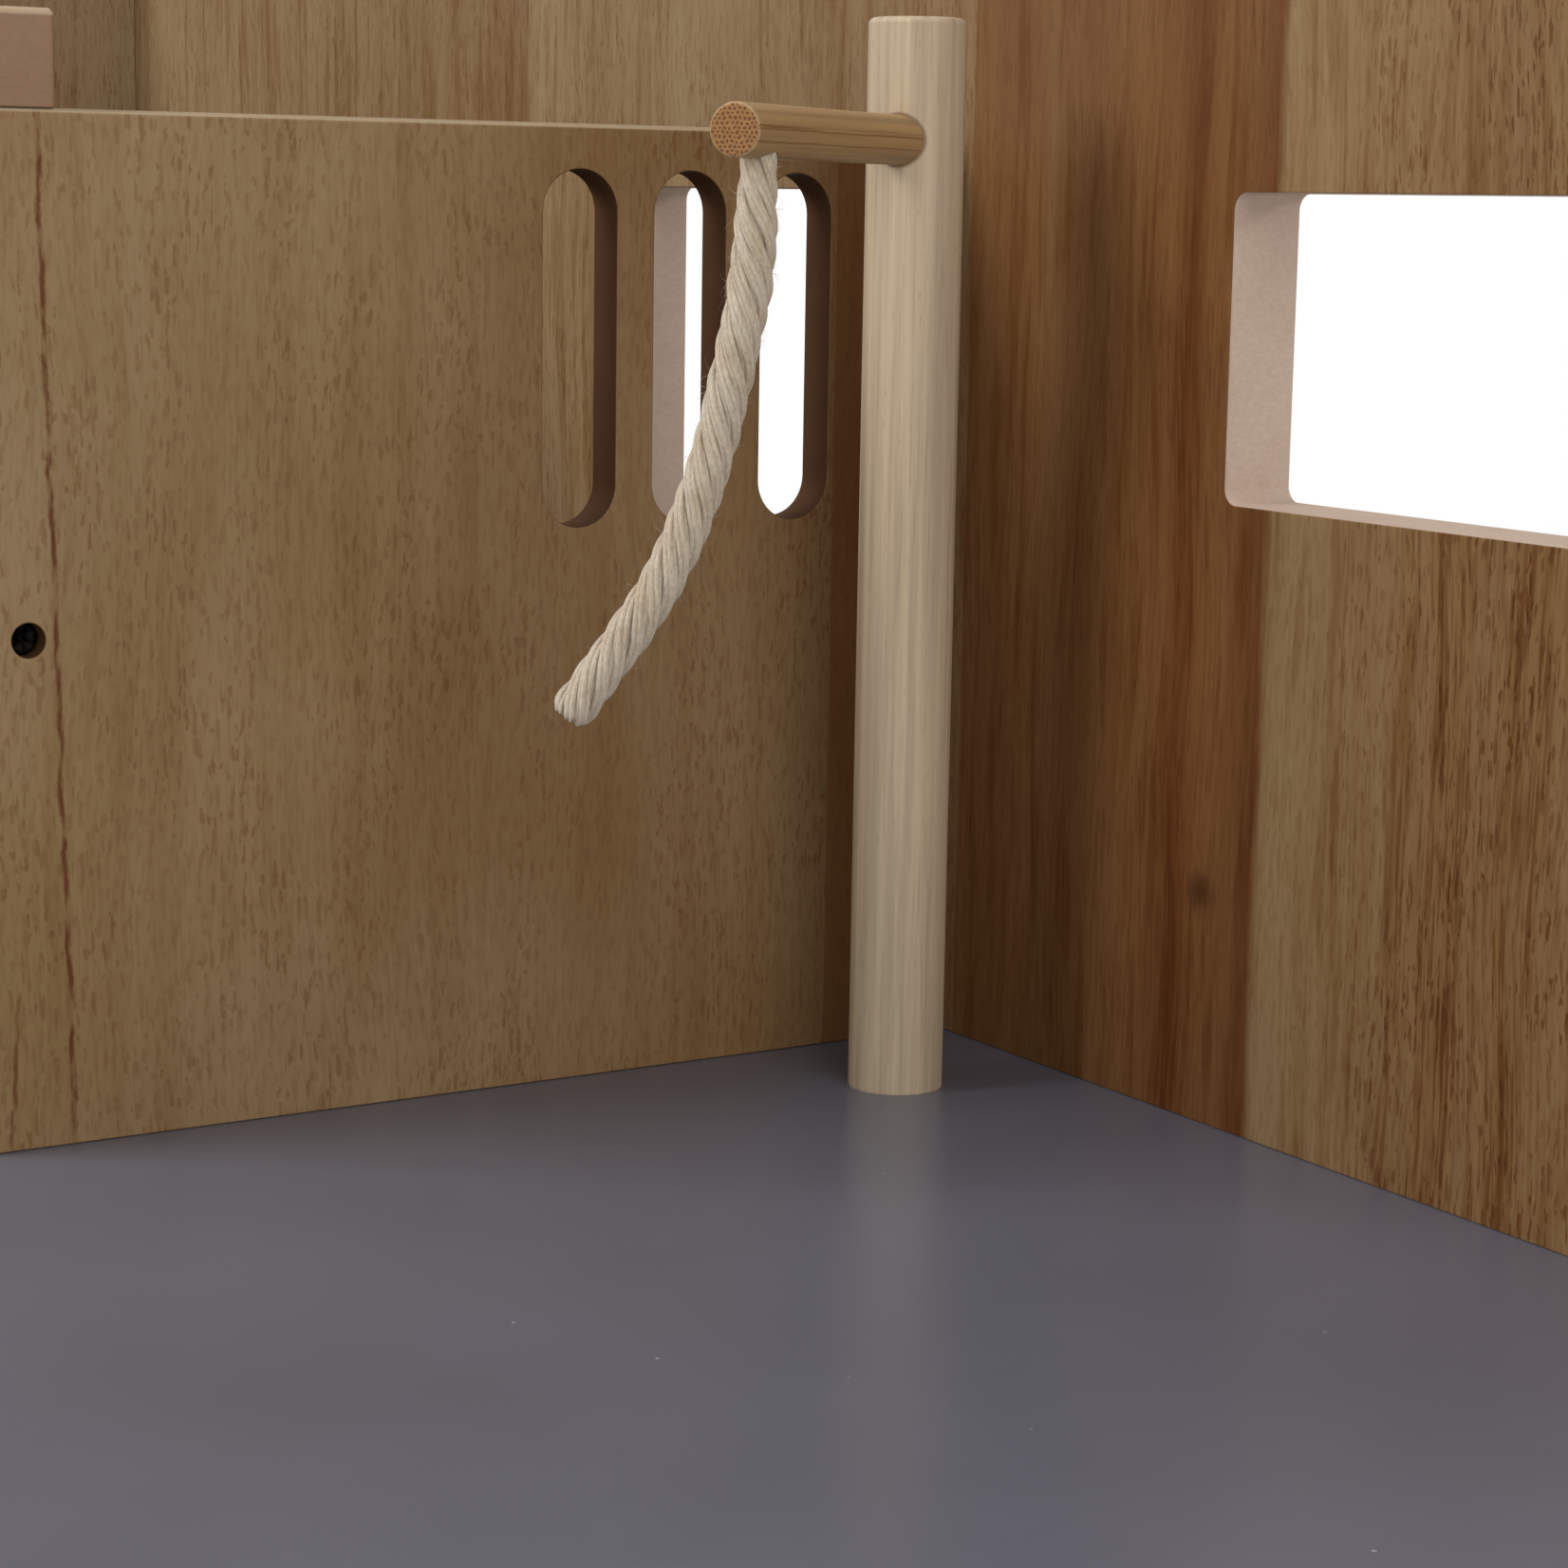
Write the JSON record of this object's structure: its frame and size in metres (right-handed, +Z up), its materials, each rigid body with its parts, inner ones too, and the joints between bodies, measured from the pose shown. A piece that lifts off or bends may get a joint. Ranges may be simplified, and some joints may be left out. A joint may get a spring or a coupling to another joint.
{
  "type": "toy horse stable",
  "caption": "Open-topped wooden toy stable: stalls with slotted doors and turn buttons, slotted partitions, back wall with windows, and a wash bay with a swivelling post, boom and rope hose.",
  "frame": {"origin": "middle of the floor board's underside", "axes": "+X along the row of bays towards the wash bay, +Y towards the back wall, +Z up"},
  "size_m": [0.495, 0.21, 0.19],
  "materials": {
    "beech_panel": "beech-look board, satin",
    "grey_floor": "grey satin lacquer",
    "pale_dowel": "raw sanded dowel",
    "bamboo": "raw bamboo",
    "cotton_rope": "twisted cotton",
    "bright_steel": "zinc plated",
    "black_steel": "black oxide"
  },
  "bodies": {
    "stable": {"floor_board": "grey_floor", "back_wall": "beech_panel", "end_wall": "beech_panel", "wash_partition": "beech_panel", "stall_partition": "beech_panel", "stall_front": "beech_panel", "left_door_stop": "beech_panel", "right_door_stop": "beech_panel", "left_button_screw": "bright_steel", "right_button_screw": "bright_steel", "back_wall_base_screws": "bright_steel", "end_wall_base_screws": "bright_steel", "partition_base_screws": "bright_steel", "front_base_screws": "bright_steel", "back_wall_joint_screws": "bright_steel", "end_wall_joint_screws": "bright_steel", "front_joint_screws": "bright_steel", "wash_partition_screw": "black_steel"},
    "left_door": {"left_door": "beech_panel", "left_door_upper_pin": "bright_steel", "left_door_lower_pin": "bright_steel", "left_door_knob": "pale_dowel"},
    "left_button": {"left_turn_button": "beech_panel"},
    "right_door": {"right_door": "beech_panel", "right_door_upper_pin": "bright_steel", "right_door_lower_pin": "bright_steel", "right_door_knob": "pale_dowel"},
    "right_button": {"right_turn_button": "beech_panel"},
    "wash_boom": {"wash_post": "pale_dowel", "hose_boom": "bamboo", "hose_rope": "cotton_rope"}
  },
  "joints": [
    {"name": "left_door_hinge", "type": "hinge", "parent": "stable", "child": "left_door", "pos_m": [-0.2009, -0.03315, 0.009], "axis": [0, 0, -1], "range_deg": [0, 97]},
    {"name": "left_button_turn", "type": "hinge", "parent": "stable", "child": "left_button", "pos_m": [-0.12175, -0.0375, 0.063], "axis": [0, -1, 0], "continuous": true},
    {"name": "right_door_hinge", "type": "hinge", "parent": "stable", "child": "right_door", "pos_m": [-0.0564, -0.03315, 0.009], "axis": [0, 0, -1], "range_deg": [0, 97]},
    {"name": "right_button_turn", "type": "hinge", "parent": "stable", "child": "right_button", "pos_m": [0.02275, -0.0375, 0.063], "axis": [0, -1, 0], "continuous": true},
    {"name": "wash_boom_swivel", "type": "hinge", "parent": "stable", "child": "wash_boom", "pos_m": [0.0737, 0.0728, 0.009], "axis": [0, 0, 1], "range_deg": [-35, 55]}
  ]
}
